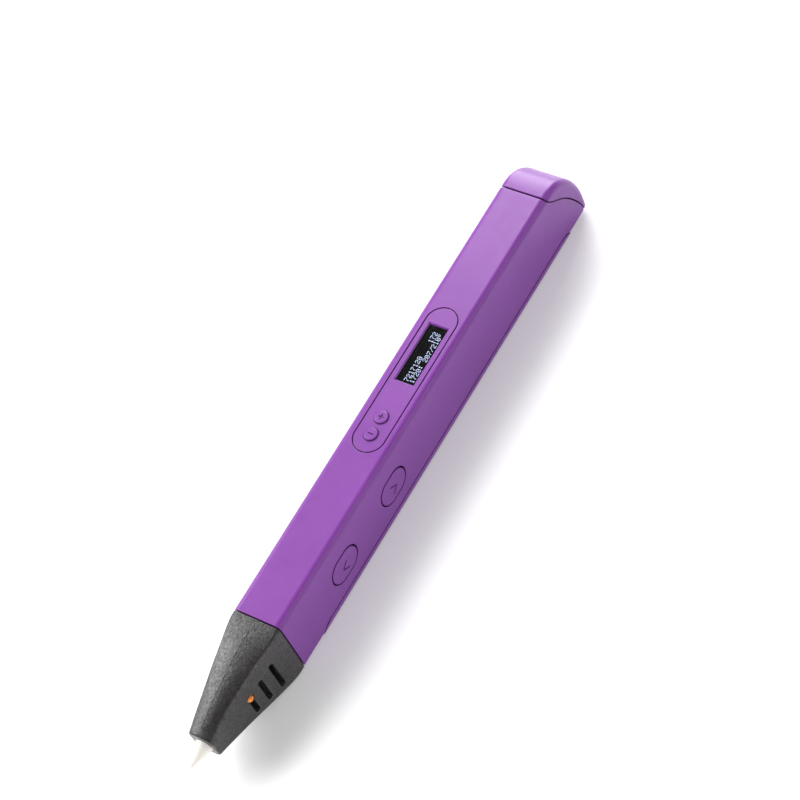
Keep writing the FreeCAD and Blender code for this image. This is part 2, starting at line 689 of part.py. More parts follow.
def feed_bushes():
    """Flanged bushes for the feed shaft, in the chassis floor and deck."""
    parts = []
    low = CHASSIS_FLOOR_Z - CHASSIS_PLATE
    for z0, z_flange in ((low, CHASSIS_FLOOR_Z), (CHASSIS_DECK_Z, CHASSIS_DECK_Z - BUSH_FLANGE_T)):
        bush = rod(V(FEED_X, FEED_SHAFT_Y, z0), Z_DIR, BUSH_R, CHASSIS_PLATE)
        bush = bush.fuse(rod(V(FEED_X, FEED_SHAFT_Y, z_flange), Z_DIR, BUSH_R + 0.3, BUSH_FLANGE_T))
        parts.append(bush.cut(rod(V(FEED_X, FEED_SHAFT_Y, 0), Z_DIR, SHAFT_R + RUN_GAP, SPAN)))
    return Part.makeCompound(parts)


def feed_shaft():
    return rod(V(FEED_X, FEED_SHAFT_Y, 2.4), Z_DIR, SHAFT_R, 10.8)


def feed_roller():
    """Knurled roller that grips the filament."""
    z0 = AXIS_Z - ROLLER_H / 2
    roller = rod(V(FEED_X, FEED_SHAFT_Y, z0), Z_DIR, FEED_ROLLER_R, ROLLER_H)
    for i in range(KNURL_TEETH):
        a = 2 * math.pi * i / KNURL_TEETH
        c = V(FEED_X + FEED_ROLLER_R * math.cos(a), FEED_SHAFT_Y + FEED_ROLLER_R * math.sin(a), z0)
        roller = roller.cut(rod(c, Z_DIR, 0.13, ROLLER_H))
    hub = rod(V(FEED_X, FEED_SHAFT_Y, z0 - 1.4), Z_DIR, 1.3, 1.4)
    return roller.fuse(hub).cut(rod(V(FEED_X, FEED_SHAFT_Y, 0), Z_DIR, SHAFT_R, SPAN)).removeSplitter()


def worm_wheel():
    """Wheel on the feed shaft, with a tooth pointing at the worm."""
    z0 = MOTOR_Z - 0.7
    height = 1.4
    root_r = WHEEL_PITCH_R - 0.38
    tip_r = WHEEL_PITCH_R + 0.2
    wheel = rod(V(FEED_X, FEED_SHAFT_Y, z0), Z_DIR, root_r, height)
    for i in range(WHEEL_TEETH):
        a = 90 + 360.0 * i / WHEEL_TEETH
        tooth = polygon_face([
            V(root_r - 0.2, -0.2, z0),
            V(tip_r, -0.1, z0),
            V(tip_r, 0.1, z0),
            V(root_r - 0.2, 0.2, z0),
        ]).extrude(V(0, 0, height))
        tooth.rotate(V(0, 0, 0), Z_DIR, a)
        tooth.translate(V(FEED_X, FEED_SHAFT_Y, 0))
        wheel = wheel.fuse(tooth)
    wheel = wheel.fuse(rod(V(FEED_X, FEED_SHAFT_Y, z0 + height), Z_DIR, 1.2, 1.2))
    return wheel.cut(rod(V(FEED_X, FEED_SHAFT_Y, 0), Z_DIR, SHAFT_R, SPAN)).removeSplitter()


def worm_shaft():
    """Motor output shaft and its worm, whose thread passes beside the facing tooth."""
    pitch = 2 * math.pi * WHEEL_PITCH_R / WHEEL_TEETH
    root_r = WORM_PITCH_R - 0.28
    tip_r = WORM_PITCH_R + 0.2
    turns = 6
    start_x = FEED_X - pitch * turns / 2
    core = rod(V(start_x - 0.4, MOTOR_Y, MOTOR_Z), X_DIR, root_r, pitch * turns + 0.8)
    shaft = rod(V(CHASSIS_X0 + 0.1, MOTOR_Y, MOTOR_Z), X_DIR, SHAFT_R, 12.0)
    helix = Part.makeHelix(pitch, pitch * turns, root_r)
    profile = Part.makePolygon([
        V(root_r - 0.15, 0, -0.17),
        V(tip_r, 0, -0.09),
        V(tip_r, 0, 0.09),
        V(root_r - 0.15, 0, 0.17),
        V(root_r - 0.15, 0, -0.17),
    ])
    thread = Part.Wire(helix).makePipeShell([profile], True, True)
    thread.rotate(V(0, 0, 0), Y_DIR, 90)
    # after the turn the thread starts on the -Z side; the wheel faces the -Y side
    thread.rotate(V(0, 0, 0), X_DIR, -90)
    thread.translate(V(start_x + pitch / 2, MOTOR_Y, MOTOR_Z))
    keep = box(start_x - 0.2, start_x + pitch * turns + 0.2, -SPAN, SPAN, -SPAN, SPAN)
    return core.fuse(shaft).fuse(thread.common(keep)).removeSplitter()


def gearbox():
    """Gear reducer on the front of the motor, with the output bush."""
    body = rod(V(GEARBOX_X0, MOTOR_Y, MOTOR_Z), X_DIR, MOTOR_R, MOTOR_X0 - GEARBOX_X0)
    boss_l = 1.2
    boss = rod(V(GEARBOX_X0 - boss_l, MOTOR_Y, MOTOR_Z), X_DIR, 1.5, boss_l)
    bore = rod(V(GEARBOX_X0 - boss_l, MOTOR_Y, MOTOR_Z), X_DIR, SHAFT_R + RUN_GAP, 2 * boss_l - 0.8)
    return body.fuse(boss).cut(bore).removeSplitter()


def drive_motor():
    """Motor can with its end cap and two solder tags."""
    can = rod(V(MOTOR_X0, MOTOR_Y, MOTOR_Z), X_DIR, MOTOR_R, MOTOR_X1 - MOTOR_X0)
    can = can.fuse(rod(V(MOTOR_X1, MOTOR_Y, MOTOR_Z), X_DIR, 1.2, 0.8))
    x0 = MOTOR_X1 - 0.2
    x1 = MOTOR_TAG_X - 0.02
    for side in (-1, 1):
        y = MOTOR_Y + side * MOTOR_TAG_Y
        can = can.fuse(box(x0, x1, y - 0.3, y + 0.3, MOTOR_Z - 0.15, MOTOR_Z + 0.15))
    return can.removeSplitter()


def idler_roller():
    """Grooved wheel that presses the filament against the feed roller."""
    roller = rod(V(FEED_X, IDLER_Y, AXIS_Z - ROLLER_H / 2), Z_DIR, FEED_ROLLER_R, ROLLER_H)
    groove = Part.makeTorus(FEED_ROLLER_R + 0.75, 0.9, V(FEED_X, IDLER_Y, AXIS_Z), Z_DIR)
    return roller.cut(groove).cut(rod(V(FEED_X, IDLER_Y, 0), Z_DIR, SHAFT_R + RUN_GAP, SPAN))


def idler_pin():
    return rod(V(FEED_X, IDLER_Y, AXIS_Z - FORK_HALF_H), Z_DIR, SHAFT_R, 2 * FORK_HALF_H)


def idler_arm():
    """Fork that holds the idler and turns on its pivot pin."""
    arm = None
    for z0 in (AXIS_Z - FORK_HALF_H, AXIS_Z + FORK_HALF_H - FORK_PLATE):
        plate = box(FEED_X, ARM_PIVOT_X, IDLER_Y - 0.7, IDLER_Y + 1.7, z0, z0 + FORK_PLATE)
        for x, y in ((FEED_X, IDLER_Y), (ARM_PIVOT_X, ARM_PIVOT_Y)):
            plate = plate.fuse(rod(V(x, y, z0), Z_DIR, 1.25, FORK_PLATE))
        arm = plate if arm is None else arm.fuse(plate)
    web_x1 = ARM_PIVOT_X - 1.2
    web = box(web_x1 - 2.2, web_x1, 2.5, 4.5, AXIS_Z - FORK_HALF_H, AXIS_Z + FORK_HALF_H)
    arm = arm.fuse(web)
    arm = arm.cut(rod(V(ARM_PIVOT_X, ARM_PIVOT_Y, 0), Z_DIR, SHAFT_R + RUN_GAP, SPAN))
    return arm.cut(rod(V(FEED_X, IDLER_Y, 0), Z_DIR, SHAFT_R, SPAN)).removeSplitter()


def arm_pivot_pin():
    z0 = CHASSIS_FLOOR_Z - CHASSIS_PLATE + 0.1
    return rod(V(ARM_PIVOT_X, ARM_PIVOT_Y, z0), Z_DIR, SHAFT_R, CHASSIS_DECK_Z + CHASSIS_PLATE - z0)


def idler_spring():
    """Leaf spring between the chassis and the idler arm."""
    y0 = CHASSIS_ARM_Y + 0.04
    return box(FEED_X + 1.4, CHASSIS_X1 - 1.02, y0, y0 + 0.15, AXIS_Z - 0.8, AXIS_Z + 0.8)


def filament_guide():
    """Straight tube from the tail inlet to the feed rollers."""
    x0 = FEED_X + 3.6
    return tube(V(x0, 0, AXIS_Z), X_DIR, GUIDE_R, FILAMENT_BORE_R, EYELET_X0 - 0.1 - x0)


def oval_button(name):
    """Oval button cap with a flange behind the wall and an engraved arrowhead."""
    x = OVAL_X[name]
    front_y = OVAL_RECESS - HALF_WIDTH
    cap_l = OVAL_L - 2 * OVAL_GAP
    cap_h = OVAL_H - 2 * OVAL_GAP
    cap = stadium_y(x, OVAL_Z - OVAL_CAP_DROP, cap_l, cap_h, front_y, OVAL_FLANGE_Y + 0.03)
    rim = [e for e in cap.Edges if abs(e.BoundBox.YMax - front_y) < 0.01]
    cap = cap.makeFillet(OVAL_RIM_R, rim)
    cap = cap.fuse(stadium_y(x, OVAL_Z, OVAL_FLANGE_L, OVAL_FLANGE_H, OVAL_FLANGE_Y, OVAL_BACK_Y))
    point = ARROW_POINTS[name]
    for side in (-1, 1):
        stroke = box(0, ARROW_ARM, -SPAN, front_y + ARROW_DEPTH, -ARROW_HALF_W, ARROW_HALF_W)
        stroke.rotate(V(0, 0, 0), Y_DIR, side * ARROW_ANGLE + (180 if point > 0 else 0))
        stroke.translate(V(x + point * ARROW_ARM * 0.42, 0, ARROW_Z))
        cap = cap.cut(stroke)
    return cap.removeSplitter()


def side_plunger(name):
    return rod(V(OVAL_X[name], OVAL_BACK_Y, OVAL_Z), Y_DIR, 1.1, 0.9)


def side_switches():
    """Two tact switch bodies on the side board."""
    parts = []
    half = SWITCH_SIZE / 2
    for x in OVAL_X.values():
        y1 = SIDE_BOARD_Y - SIDE_BOARD_T
        body = box(x - half, x + half, SIDE_SWITCH_FACE_Y, y1, OVAL_Z - half, OVAL_Z + half)
        parts.append(body.cut(rod(V(x, SIDE_SWITCH_FACE_Y, OVAL_Z), Y_DIR, 1.2, 0.85)))
    return Part.makeCompound(parts)


def side_switch_board():
    y0 = SIDE_BOARD_Y - SIDE_BOARD_T
    return box(SIDE_BOARD_X0, SIDE_BOARD_X1, y0, SIDE_BOARD_Y, SIDE_BOARD_Z0, SIDE_BOARD_Z1)


def round_button(name, is_plus):
    """Round button with a flange under the panel and an engraved sign."""
    x = ROUND_BUTTON_X[name]
    low = ROUND_FLANGE_Z
    cap = rod(V(x, 0, low), Z_DIR, ROUND_BUTTON_R, ROUND_BUTTON_TOP - low)
    rim = [e for e in cap.Edges if abs(e.BoundBox.ZMin - ROUND_BUTTON_TOP) < 0.01]
    cap = cap.makeFillet(ROUND_RIM_R, rim)
    cap = cap.fuse(rod(V(x, 0, low), Z_DIR, ROUND_FLANGE_R, ROUND_FLANGE_T))
    groove_z = ROUND_BUTTON_TOP - SIGN_DEPTH
    length = SIGN_HALF_L
    width = SIGN_HALF_W
    cap = cap.cut(box(x - width, x + width, -length, length, groove_z, 2 * SPAN))
    if is_plus:
        cap = cap.cut(box(x - length, x + length, -width, width, groove_z, 2 * SPAN))
    return cap.removeSplitter()


def front_plunger(name):
    low = FRONT_SWITCH_TOP - 0.7
    return rod(V(ROUND_BUTTON_X[name], 0, low), Z_DIR, 0.9, ROUND_FLANGE_Z - low)


def front_switches():
    """Two tact switch bodies on the main board."""
    parts = []
    half = SWITCH_SIZE / 2
    for x in ROUND_BUTTON_X.values():
        body = box(x - half, x + half, -half, half, BOARD_TOP_Z, FRONT_SWITCH_TOP)
        parts.append(body.cut(rod(V(x, 0, FRONT_SWITCH_TOP - 1.3), Z_DIR, 1.0, 1.3)))
    return Part.makeCompound(parts)


def window_outline(inset, z):
    """Closed rectangle along the window's edge, moved inwards by inset."""
    x0 = WINDOW_X0 + inset
    x1 = WINDOW_X1 - inset
    half = WINDOW_HALF_W - inset
    corners = [V(x0, -half, z), V(x1, -half, z), V(x1, half, z), V(x0, half, z)]
    return Part.makePolygon(corners + [corners[0]])


def window_box(margin, z0, z1):
    """Box that is wider than the window by margin on every side."""
    half = WINDOW_HALF_W + margin
    return box(WINDOW_X0 - margin, WINDOW_X1 + margin, -half, half, z0, z1)


def display_panel():
    """Oval inlay flush with the face, with a shallow slope round the window and a pocket for the lens."""
    z0 = FACE_Z - PANEL_DEPTH + 0.02
    z1 = FACE_Z - 0.02
    panel = stadium_z(PANEL_X0, PANEL_X1, PANEL_HALF_W, z0, z1)
    rim = [e for e in panel.Edges if e.BoundBox.ZMin > z1 - 0.01]
    panel = panel.makeFillet(PANEL_RIM_R, rim)
    slope_foot = FACE_Z - WINDOW_SINK
    slope = Part.makeLoft([window_outline(WINDOW_FRAME, slope_foot), window_outline(0, FACE_Z)], True, True)
    panel = panel.cut(slope).cut(window_box(-WINDOW_FRAME, z0 - 1, slope_foot + 0.01))
    panel = panel.cut(window_box(LENS_MARGIN + 0.05, z0 - 1, LENS_TOP_Z + 0.02))
    for x in ROUND_BUTTON_X.values():
        panel = panel.cut(rod(V(x, 0, z0), Z_DIR, ROUND_BUTTON_R + ROUND_BUTTON_GAP, PANEL_DEPTH))
    return panel.removeSplitter()


def display_window():
    """Clear lens in the panel's pocket."""
    return window_box(LENS_MARGIN, LENS_TOP_Z - LENS_T, LENS_TOP_Z)


def oled_glass():
    """Display glass: a long base plate, and the lit part that rises to the lens."""
    base = box(OLED_X0, OLED_X1, -OLED_HALF_W, OLED_HALF_W, OLED_Z0, OLED_BASE_Z)
    lit = window_box(LIT_MARGIN, OLED_BASE_Z - MERGE, LENS_TOP_Z - LENS_T - 0.02)
    return base.fuse(lit).removeSplitter()


def oled_carrier():
    """Frame that holds the display glass above the board."""
    wall = 1.2
    half = CARRIER_HALF_W
    frame = box(OLED_X0, CARRIER_X1, -half, half, BOARD_TOP_Z, OLED_Z0 - 0.05)
    half -= wall
    hollow = box(OLED_X0 + wall, CARRIER_X1 - wall, -half, half, BOARD_TOP_Z, OLED_Z0 - 0.9)
    return frame.cut(hollow)


def oled_flex():
    """Ribbon from the display glass down to the main board."""
    half = FLEX_HALF_W
    inner = FLEX_X - FLEX_T
    top = box(OLED_X1 + 0.02, FLEX_X, -half, half, FLEX_Z, FLEX_Z + FLEX_T)
    drop = box(inner, FLEX_X, -half, half, BOARD_TOP_Z, FLEX_Z + FLEX_T)
    foot = box(inner, FLEX_X + 2.0, -half, half, BOARD_TOP_Z, BOARD_TOP_Z + FLEX_T)
    return top.fuse(drop).fuse(foot).removeSplitter()


def main_board():
    board = box(BOARD_X0, BOARD_X1, -BOARD_HALF_W, BOARD_HALF_W, BOARD_Z0, BOARD_TOP_Z)
    for x in POST_XS:
        for y in POST_YS:
            board = board.cut(rod(V(x, y, BOARD_Z0), Z_DIR, SCREW_R + 0.11, BOARD_T))
    return board


def board_chips():
    """Controller, motor driver, heater transistor and two capacitors on the board's underside."""
    parts = []
    for x0, x1, y0, y1, height in BOARD_CHIPS:
        parts.append(box(x0, x1, y0, y1, BOARD_Z0 - height, BOARD_Z0))
    return Part.makeCompound(parts)


def board_screws():
    """Four pan-head screws that hold the main board to its posts."""
    parts = []
    for x in POST_XS:
        for y in POST_YS:
            screw = rod(V(x, y, BOARD_Z0 - SCREW_HEAD_H), Z_DIR, SCREW_HEAD_R, SCREW_HEAD_H)
            screw = screw.fuse(rod(V(x, y, BOARD_Z0), Z_DIR, SCREW_R, SCREW_L))
            z1 = BOARD_Z0 - SCREW_HEAD_H / 2
            for half_x, half_y in ((0.6, 0.12), (0.12, 0.6)):
                screw = screw.cut(box(x - half_x, x + half_x, y - half_y, y + half_y, 0, z1))
            parts.append(screw.removeSplitter())
    return Part.makeCompound(parts)


def speed_slider():
    """Ridged knob on a dust plate, with the wiper that enters the potentiometer."""
    half = SLIDER_KNOB_L / 2
    y1 = HALF_WIDTH - 0.05
    z0 = SLIDER_Z - SLIDER_KNOB_H / 2
    knob = box(SLIDER_X - half, SLIDER_X + half, DUST_PLATE_Y0, y1, z0, z0 + SLIDER_KNOB_H)
    for i in range(-2, 3):
        x = SLIDER_X + i * 0.75
        knob = knob.cut(rod(V(x, HALF_WIDTH, z0), Z_DIR, 0.24, SLIDER_KNOB_H))
    half = DUST_PLATE_HALF_L
    z0 = SLIDER_Z - DUST_PLATE_HALF_H
    z1 = SLIDER_Z + DUST_PLATE_HALF_H
    plate = box(SLIDER_X - half, SLIDER_X + half, DUST_PLATE_Y0, DUST_PLATE_Y1, z0, z1)
    wiper = box(SLIDER_X - 0.8, SLIDER_X + 0.8, WIPER_Y, DUST_PLATE_Y1, SLIDER_Z - 0.5, SLIDER_Z + 0.5)
    return knob.fuse(plate).fuse(wiper).removeSplitter()


def slide_potentiometer():
    """Metal-cased slide potentiometer with a channel for the wiper."""
    half = POT_HALF_L
    body = box(SLIDER_X - half, SLIDER_X + half, POT_Y0, POT_Y1, SLIDER_Z - 1.7, SLIDER_Z + 2.2)
    half = SLIDER_TRAVEL + 1.2
    y0 = WIPER_Y - 0.4
    return body.cut(box(SLIDER_X - half, SLIDER_X + half, y0, POT_Y1, SLIDER_Z - 0.7, SLIDER_Z + 0.7))


def power_jack():
    """Socket for the round low-voltage plug."""
    body = box(JACK_X0, JACK_X1, -JACK_HALF_W, JACK_HALF_W, JACK_Z0, JACK_Z1)
    return body.cut(rod(V(JACK_BOTTOM_X, 0, JACK_Z), X_DIR, JACK_HOLE_R, SPAN))


def jack_pin():
    """Round-ended centre pin of the socket."""
    pin = rod(V(JACK_BOTTOM_X, 0, JACK_Z), X_DIR, JACK_PIN_R, JACK_PIN_X1 - JACK_BOTTOM_X)
    return pin.fuse(Part.makeSphere(JACK_PIN_R, V(JACK_PIN_X1, 0, JACK_Z))).removeSplitter()


def heater_wires():
    """Four insulated wires from the hot end to the main board's edge."""
    x0 = MOUNT_X1 + 0.1
    parts = []
    for y in HEATER_WIRE_YS:
        for z in HEATER_WIRE_ZS:
            parts.append(rod(V(x0, y, z), X_DIR, HEATER_WIRE_R, BOARD_X0 - 0.1 - x0))
    return Part.makeCompound(parts)


def rising_wire(x0, x1, y, z0, radius):
    """Wire that runs along X from x0 to x1 and then up to the underside of the main board."""
    bend = 3.0
    side = 1 if x1 > x0 else -1
    knee = V(x1 - side * bend, y, z0)
    top = V(x1, y, BOARD_Z0 - 0.05)
    a = math.radians(45)
    mid = V(knee.x + side * bend * math.sin(a), y, z0 + bend * (1 - math.cos(a)))
    path = Part.Wire([
        Part.LineSegment(V(x0, y, z0), knee).toShape(),
        Part.Arc(knee, mid, V(x1, y, z0 + bend)).toShape(),
        Part.LineSegment(V(x1, y, z0 + bend), top).toShape(),
    ])
    ring = Part.Wire([Part.makeCircle(radius, V(x0, y, z0), X_DIR)])
    return path.makePipeShell([ring], True, True)


def motor_wires():
    """Two wires from the motor's tags up to the main board."""
    ys = (MOTOR_Y - MOTOR_TAG_Y, MOTOR_Y + MOTOR_TAG_Y)
    return Part.makeCompound([rising_wire(MOTOR_TAG_X, -3.0, y, MOTOR_Z, 0.35) for y in ys])


def power_wires():
    """Two wires from the jack up to the main board."""
    return Part.makeCompound([rising_wire(JACK_X0 - 0.05, 57.5, y, JACK_Z, 0.4) for y in (-2.2, 2.2)])


def build():
    body = envelope()
    hollow = cavity()
    nodes = {
        "front_shell": front_shell(body, hollow),
        "back_cover": back_cover(),
        "end_cap": end_cap(body, hollow),
        "nose_cover": nose_cover(),
        "nozzle": nozzle(),
        "heater_barrel": heater_barrel(),
        "heater_wrap": heater_wrap(),
        "thermistor": thermistor(),
        "heat_break": heat_break(),
        "hot_end_mount": hot_end_mount(),
        "ptfe_liner": ptfe_liner(),
        "feed_chassis": feed_chassis(),
        "feed_bushes": feed_bushes(),
        "feed_shaft": feed_shaft(),
        "feed_roller": feed_roller(),
        "worm_wheel": worm_wheel(),
        "worm_shaft": worm_shaft(),
        "gearbox": gearbox(),
        "drive_motor": drive_motor(),
        "idler_roller": idler_roller(),
        "idler_pin": idler_pin(),
        "idler_arm": idler_arm(),
        "arm_pivot_pin": arm_pivot_pin(),
        "idler_spring": idler_spring(),
        "filament_guide": filament_guide(),
        "feed_button": oval_button("feed"),
        "retract_button": oval_button("retract"),
        "feed_switch_plunger": side_plunger("feed"),
        "retract_switch_plunger": side_plunger("retract"),
        "side_switches": side_switches(),
        "side_switch_board": side_switch_board(),
        "temp_down_button": round_button("temp_down", False),
        "temp_up_button": round_button("temp_up", True),
        "temp_down_plunger": front_plunger("temp_down"),
        "temp_up_plunger": front_plunger("temp_up"),
        "front_switches": front_switches(),
        "display_panel": display_panel(),
        "display_window": display_window(),
        "oled_glass": oled_glass(),
        "oled_carrier": oled_carrier(),
        "oled_flex": oled_flex(),
        "main_board": main_board(),
        "board_chips": board_chips(),
        "board_screws": board_screws(),
        "speed_slider": speed_slider(),
        "slide_potentiometer": slide_potentiometer(),
        "power_jack": power_jack(),
        "jack_pin": jack_pin(),
        "inlet_grommet": inlet_grommet(),
        "heater_wires": heater_wires(),
        "motor_wires": motor_wires(),
        "power_wires": power_wires(),
    }
    os.makedirs("parts", exist_ok=True)
    for name, shape in nodes.items():
        shape.exportStep(f"parts/{name}.step")
        print(name, len(shape.Solids), round(shape.Volume, 2), shape.isValid())


build()
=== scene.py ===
"""Looks of the 3-D printing pen: materials, the lit display, the studio and the camera."""
import json
import math

import bmesh
import bpy
from mathutils import Matrix, Vector


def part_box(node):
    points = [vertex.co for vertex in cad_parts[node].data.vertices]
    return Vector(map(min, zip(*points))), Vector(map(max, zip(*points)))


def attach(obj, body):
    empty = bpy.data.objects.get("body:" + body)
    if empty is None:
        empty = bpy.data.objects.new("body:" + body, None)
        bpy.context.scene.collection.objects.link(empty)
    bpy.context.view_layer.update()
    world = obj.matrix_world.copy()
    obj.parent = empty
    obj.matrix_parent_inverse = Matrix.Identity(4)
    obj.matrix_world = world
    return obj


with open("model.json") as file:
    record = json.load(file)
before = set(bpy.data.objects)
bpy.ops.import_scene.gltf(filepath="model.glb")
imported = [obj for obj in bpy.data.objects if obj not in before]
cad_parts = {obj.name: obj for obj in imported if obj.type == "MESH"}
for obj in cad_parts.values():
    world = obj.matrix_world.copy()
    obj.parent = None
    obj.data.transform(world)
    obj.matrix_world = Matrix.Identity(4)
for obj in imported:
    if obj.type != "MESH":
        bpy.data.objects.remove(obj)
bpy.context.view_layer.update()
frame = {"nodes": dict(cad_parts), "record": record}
NODES = frame["nodes"]
SLOT_OF = {row["node"]: row["material_slot"] for row in frame["record"]["subparts"]}

MM = 0.001
MICRON = 0.001 * MM

# Nearly every value of a noise texture lies between these two
NOISE_LOW = 0.3
NOISE_HIGH = 0.7

# Camera: where it stands round the pen, in degrees and metres, and its lens in millimetres
CAMERA_AZIMUTH = -35.77
CAMERA_ELEVATION = 54.24
CAMERA_DISTANCE = 0.6402
CAMERA_ROLL = -27.72
CAMERA_AIM = Vector((0.0158, 0.0044, 0.0106))
CAMERA_LENS = 115.84
CAMERA_CLIP_START = 0.01

# Studio: the floor's half width in metres, its glow and the strength of the light from all round
FLOOR_HALF = 3.0
FLOOR_GLOW = 0.2
WORLD_STRENGTH = 0.3
WHITE = (1.0, 1.0, 1.0, 1.0)

# Where lights are aimed, in metres: the middle of the pen, its tail, its end cap and its nose
MIDDLE = Vector((0, 0, 0))
TAIL = Vector((0.06, 0, 0))
END_CAP = Vector((0.075, 0, 0.02))
NOSE = Vector((-0.02, 0, 0.01))


# ---------------------------------------------------------------- colours

def linear(r, g, b):
    """An sRGB colour, 0 to 255, as the linear colour that shaders take."""
    def one(channel):
        value = channel / 255
        return value / 12.92 if value <= 0.04045 else ((value + 0.055) / 1.055) ** 2.4
    return (one(r), one(g), one(b), 1.0)


def grey(value):
    """A grey of that linear brightness."""
    return (value, value, value, 1.0)


def shade(colour, gain):
    """The colour made gain times as bright."""
    return tuple(min(1.0, c * gain) for c in colour[:3]) + (1.0,)


# ---------------------------------------------------------------- materials

class Shader:
    """A material whose nodes are added one by one."""

    def __init__(self, name, **values):
        self.material = bpy.data.materials.new(name)
        self.material.use_nodes = True
        self.tree = self.material.node_tree
        self.tree.nodes.clear()
        self.bsdf = self.node("ShaderNodeBsdfPrincipled", **values)
        self.output = self.node("ShaderNodeOutputMaterial")
        self.link(self.bsdf.outputs[0], self.output.inputs["Surface"])
        self.place = self.node("ShaderNodeTexCoord").outputs["Object"]

    def node(self, kind, **values):
        """Adds a node; each value is named after an input, with underscores for its spaces."""
        made = self.tree.nodes.new(kind)
        for key, value in values.items():
            made.inputs[key.replace("_", " ")].default_value = value
        return made

    def link(self, source, target):
        self.tree.links.new(source, target)

    def noise(self, scale, detail=4.0, roughness=0.6, stretch=None):
        """Noise in the pen's own space; scale is in features per metre."""
        made = self.node("ShaderNodeTexNoise", Scale=scale, Detail=detail, Roughness=roughness)
        source = self.place
        if stretch:
            mapping = self.node("ShaderNodeMapping", Scale=stretch)
            self.link(self.place, mapping.inputs["Vector"])
            source = mapping.outputs["Vector"]
        self.link(source, made.inputs["Vector"])
        return made.outputs["Fac"]

    def ramp(self, factor, stops):
        """Colours along a factor; stops are (place, colour)."""
        made = self.node("ShaderNodeValToRGB")
        ramp = made.color_ramp
        while len(ramp.elements) < len(stops):
            ramp.elements.new(0.5)
        for element, (place, colour) in zip(ramp.elements, stops):
            element.position = place
            element.color = colour
        self.link(factor, made.inputs["Fac"])
        return made.outputs["Color"]

    def blend(self, factor, first, last):
        """A colour that drifts between two others with a noise factor."""
        return self.ramp(factor, [(NOISE_LOW, first), (NOISE_HIGH, last)])

    def spread(self, factor, low, high):
        """A value that drifts from low to high with a noise factor."""
        made = self.node(
            "ShaderNodeMapRange", From_Min=NOISE_LOW, From_Max=NOISE_HIGH, To_Min=low, To_Max=high)
        self.link(factor, made.inputs["Value"])
        return made.outputs["Result"]

    def painted_shade_in_gaps(self, colour, shade_colour, distance):
        """Painted shade: blends the colour towards a darker one where surfaces face each other closely."""
        shadow = self.node("ShaderNodeAmbientOcclusion", Distance=distance)
        made = self.node("ShaderNodeMix")
        made.data_type = "RGBA"
        self.link(shadow.outputs["AO"], made.inputs["Factor"])
        made.inputs["A"].default_value = shade_colour
        self.link(colour, made.inputs["B"])
        return made.outputs["Result"]

    def bump(self, factor, height, strength, under=None):
        """Relief of that height in metres, laid over another relief if one is given."""
        made = self.node("ShaderNodeBump", Strength=strength, Distance=height)
        self.link(factor, made.inputs["Height"])
        if under is not None:
            self.link(under, made.inputs["Normal"])
        return made.outputs["Normal"]

    def colour_from(self, socket):
        self.link(socket, self.bsdf.inputs["Base Color"])

    def roughness_from(self, socket):
        self.link(socket, self.bsdf.inputs["Roughness"])

    def specular_from(self, socket):
        self.link(socket, self.bsdf.inputs["Specular IOR Level"])

    def glow_from(self, socket):
        self.link(socket, self.bsdf.inputs["Emission Color"])

    def normal_from(self, socket):
        self.link(socket, self.bsdf.inputs["Normal"])


def grained_plastic(name, colour, rough, grain, depth):
    """Moulded plastic: fine grain, slow drift in colour and uneven gloss."""
    drift = 0.06
    gloss_drift = 0.06
    gloss_share = 0.12
    s = Shader(name)
    s.colour_from(s.blend(s.noise(90.0, detail=3.0), shade(colour, 1 - drift), shade(colour, 1 + drift)))
    patches = s.noise(grain * gloss_share, detail=5.0, roughness=0.7)
    s.roughness_from(s.spread(patches, rough - gloss_drift, rough + gloss_drift))
    wavy = s.bump(s.noise(160.0, detail=2.0), height=20 * MICRON, strength=0.5)
    fine = s.noise(grain, detail=3.0, roughness=0.7)
    s.normal_from(s.bump(fine, height=depth, strength=0.8, under=wavy))
    return s.material


def purple_shell():
    """Satin purple plastic with painted shade in the seams and gaps, a faint grain and slow drift in tone.
    """
    s = Shader("purple_shell", Specular_IOR_Level=0.4)
    tone = s.blend(s.noise(60.0, detail=3.0), linear(119, 54, 146), linear(125, 59, 152))
    # Painted shade: ambient occlusion darkens the purple towards a deep purple in seams, gaps and recess
    # edges
    s.colour_from(s.painted_shade_in_gaps(tone, shade_colour=linear(44, 12, 58), distance=0.7 * MM))
    s.roughness_from(s.spread(s.noise(500.0), 0.29, 0.37))
    grain = s.noise(2600.0, detail=2.0, roughness=0.5)
    s.normal_from(s.bump(grain, height=3 * MICRON, strength=0.6))
    return s.material


def nose_black():
    """Glass-filled black plastic: uneven gloss, coarse moulded grain, faint rubbed streaks along the pen."""
    s = Shader("nose_black")
    base = linear(38, 35, 37)
    streaks = s.noise(600.0, detail=6.0, roughness=0.75, stretch=(0.3, 1.0, 1.0))
    s.colour_from(s.ramp(streaks, [(0.3, shade(base, 0.7)), (0.55, base), (0.8, shade(base, 2.0))]))
    s.specular_from(s.spread(s.noise(1700.0, detail=3.0, roughness=0.8), 0.2, 1.0))
    s.roughness_from(s.spread(s.noise(380.0, detail=6.0, roughness=0.8), 0.24, 0.4))
    soft = s.bump(s.noise(300.0, detail=3.0), height=60 * MICRON, strength=0.8)
    grain = s.noise(2000.0, detail=4.0, roughness=0.75)
    s.normal_from(s.bump(grain, height=90 * MICRON, strength=1.0, under=soft))
    return s.material


def ceramic():
    """Fine unglazed ceramic, slightly translucent."""
    s = Shader("ceramic", Specular_IOR_Level=0.45, Subsurface_Weight=0.25, Subsurface_Scale=1.2 * MM)
    s.colour_from(s.blend(s.noise(260.0, detail=3.0), linear(252, 243, 234), linear(255, 251, 246)))
    s.roughness_from(s.spread(s.noise(2500.0), 0.32, 0.48))
    s.normal_from(s.bump(s.noise(5200.0, detail=3.0), height=8 * MICRON, strength=0.7))
    return s.material


